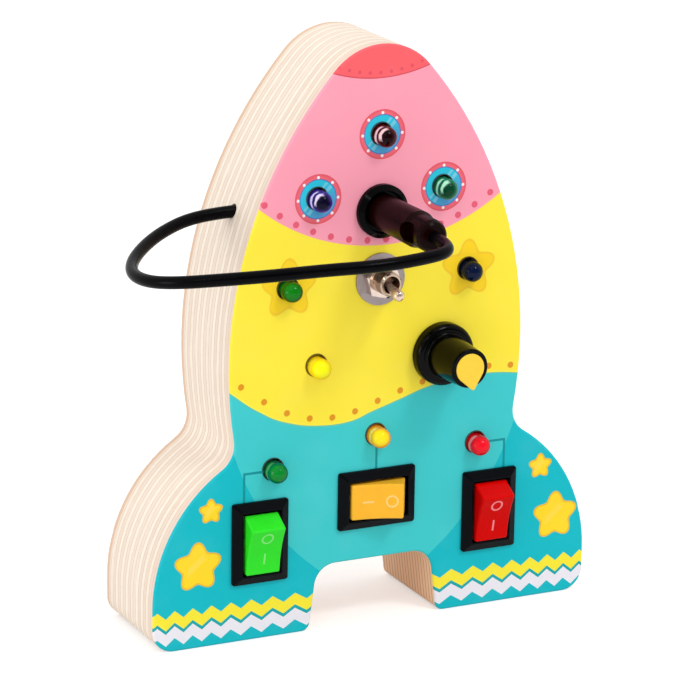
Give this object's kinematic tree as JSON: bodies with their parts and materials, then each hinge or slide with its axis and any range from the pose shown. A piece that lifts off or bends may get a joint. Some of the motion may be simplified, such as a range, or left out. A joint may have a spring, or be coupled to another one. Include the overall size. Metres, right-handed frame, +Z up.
{
  "type": "wooden busy board",
  "caption": "Rocket-shaped plywood busy board that stands on its feet, with lamps, rocker switches, a toggle switch, a rotary knob, a socket and a plug on a short cord.",
  "frame": {"origin": "centre of the bounding box in X and Y without the cord and plug, at the height of the soles", "axes": "+Z up the board to the nose, +Y from the printed front to the back, +X to the right seen from the front"},
  "size_m": [0.1284, 0.0721, 0.1437],
  "materials": {
    "plywood": "fine sanded plywood with a printed front",
    "cover_board": "thin plywood",
    "black_plastic": "gloss",
    "plug_plastic": "gloss, very dark red-brown",
    "cord_sheath": "satin soft sheath",
    "screw_steel": "zinc plated",
    "bright_metal": "nickel plated",
    "contact_metal": "tinned brass",
    "lamp_red": "clear red",
    "lamp_blue": "clear blue",
    "lamp_green": "clear green",
    "lamp_yellow": "clear yellow",
    "lamp_violet": "clear violet blue",
    "button_green": "gloss",
    "button_amber": "gloss",
    "button_red": "gloss",
    "cap_yellow": "gloss",
    "case_red": "satin",
    "tray_plastic": "satin",
    "tie_nylon": "satin",
    "circuit_board": "green lacquer",
    "wafer_board": "brown laminate",
    "resistor_body": "lacquer",
    "cell_jacket": "gloss"
  },
  "bodies": {
    "board": {"back_cover": "cover_board", "battery_cells": "cell_jacket", "battery_door": "tray_plastic", "battery_springs": "screw_steel", "battery_tray": "tray_plastic", "board_body": "plywood", "contact_plates": "bright_metal", "cord": "cord_sheath", "cord_tie": "tie_nylon", "cover_screws": "screw_steel", "door_screw": "screw_steel", "lamp_board": "circuit_board", "lamp_leads": "contact_metal", "left_rocker_housing": "black_plastic", "left_rocker_lamp": "lamp_green", "left_star_lamp": "lamp_green", "left_window_lamp": "lamp_violet", "middle_rocker_housing": "black_plastic", "middle_rocker_lamp": "lamp_yellow", "panel_screws": "screw_steel", "panel_spacers": "tie_nylon", "pot_bush": "bright_metal", "pot_case": "screw_steel", "pot_nut": "bright_metal", "pot_tags": "contact_metal", "pot_wafer": "wafer_board", "pot_washer": "bright_metal", "resistors": "resistor_body", "right_rocker_housing": "black_plastic", "right_rocker_lamp": "lamp_red", "right_star_lamp": "lamp_blue", "right_window_lamp": "lamp_green", "rocker_blades": "contact_metal", "side_lamp": "lamp_yellow", "socket_body": "black_plastic", "socket_nut": "bright_metal", "socket_pin": "bright_metal", "socket_tags": "contact_metal", "toggle_case": "case_red", "toggle_frame": "bright_metal", "toggle_nut": "bright_metal", "toggle_tags": "contact_metal", "toggle_washer": "bright_metal", "top_window_lamp": "lamp_red"},
    "left_button": {"left_rocker_button": "button_green"},
    "middle_button": {"middle_rocker_button": "button_amber"},
    "right_button": {"right_rocker_button": "button_red"},
    "lever": {"toggle_lever": "bright_metal"},
    "knob_group": {"knob": "black_plastic", "knob_cap": "cap_yellow", "pot_shaft": "bright_metal"},
    "plug": {"plug_shell": "plug_plastic", "plug_sleeve": "bright_metal"}
  },
  "joints": [
    {"name": "left_rocker_tilt", "type": "hinge", "parent": "board", "child": "left_button", "pos_m": [-0.031, -0.00595, 0.02485], "axis": [-1, 0, 0], "range_deg": [0, 32]},
    {"name": "middle_rocker_tilt", "type": "hinge", "parent": "board", "child": "middle_button", "pos_m": [0, -0.00595, 0.03195], "axis": [0, 0, 1], "range_deg": [0, 32]},
    {"name": "right_rocker_tilt", "type": "hinge", "parent": "board", "child": "right_button", "pos_m": [0.031, -0.00595, 0.02485], "axis": [-1, 0, 0], "range_deg": [0, 32]},
    {"name": "toggle_tilt", "type": "hinge", "parent": "board", "child": "lever", "pos_m": [0, -0.00895, 0.0868], "axis": [-1, 0, 0], "range_deg": [0, 24]},
    {"name": "knob_turn", "type": "hinge", "parent": "board", "child": "knob_group", "pos_m": [0.01685, -0.01175, 0.06665], "axis": [0, 1, 0], "range_deg": [0, 300]},
    {"name": "plug_pull", "type": "slide", "parent": "board", "child": "plug", "axis": [0, -1, 0], "range_m": [0, 0.013], "deforming": ["cord"]}
  ]
}
